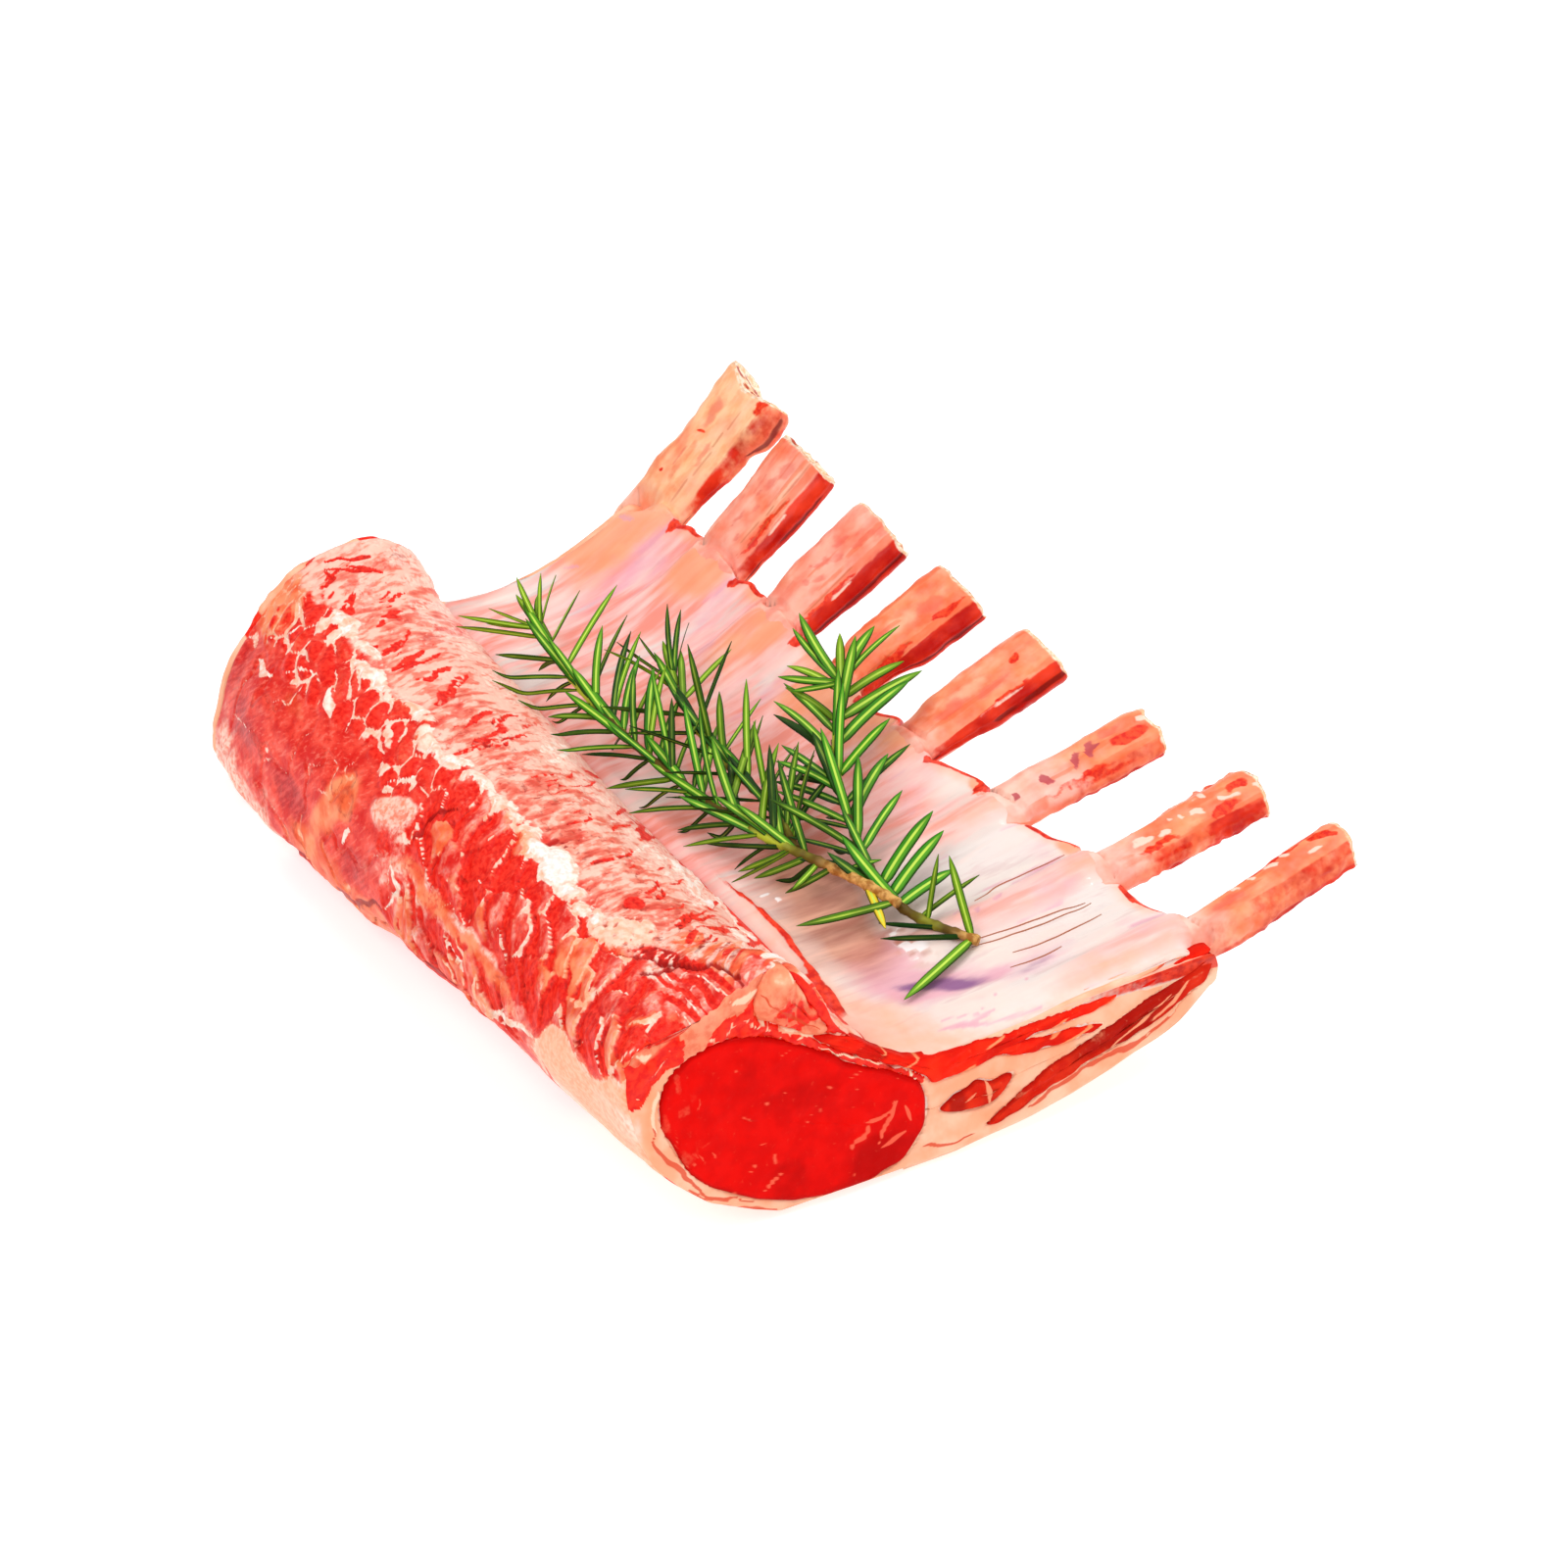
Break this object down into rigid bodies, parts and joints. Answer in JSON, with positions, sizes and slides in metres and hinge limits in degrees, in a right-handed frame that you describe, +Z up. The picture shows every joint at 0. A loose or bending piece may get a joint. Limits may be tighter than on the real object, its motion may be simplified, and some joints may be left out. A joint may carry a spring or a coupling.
{
  "type": "rack of lamb",
  "caption": "Raw frenched rack of lamb resting on its loin, with bare rib bones curving up and rosemary sprigs lying on the rib side",
  "frame": {"origin": "on the flat underside of the loin, at the middle of the rack's length, under the loin's inner top edge", "axes": "+X along the loin towards the near cut face, +Y from the loin towards the rib tips, +Z up"},
  "size_m": [0.2052, 0.1747, 0.0657],
  "materials": {
    "fat": "moist, soft gloss, cream fat and pearly membrane",
    "eye_meat": "moist cut meat, fine grain",
    "chine_meat": "moist trimmed meat with fat seams",
    "dark_meat": "moist cut meat",
    "rib_bone": "scraped bone with a thin film of meat",
    "rosemary": "waxy needles on a woody stem"
  },
  "bodies": {
    "root": {"fat_body": "fat", "eye_muscle": "eye_meat", "chine_muscle": "chine_meat", "cap_muscle": "dark_meat", "island_muscle": "dark_meat", "intercostal_1": "dark_meat", "intercostal_2": "dark_meat", "intercostal_3": "dark_meat", "intercostal_4": "dark_meat", "intercostal_5": "dark_meat", "intercostal_6": "dark_meat", "intercostal_7": "dark_meat", "intercostal_8": "dark_meat", "rib_1": "rib_bone", "rib_2": "rib_bone", "rib_3": "rib_bone", "rib_4": "rib_bone", "rib_5": "rib_bone", "rib_6": "rib_bone", "rib_7": "rib_bone", "rib_8": "rib_bone", "rosemary_long_sprig": "rosemary", "rosemary_short_sprig": "rosemary"}
  },
  "joints": []
}
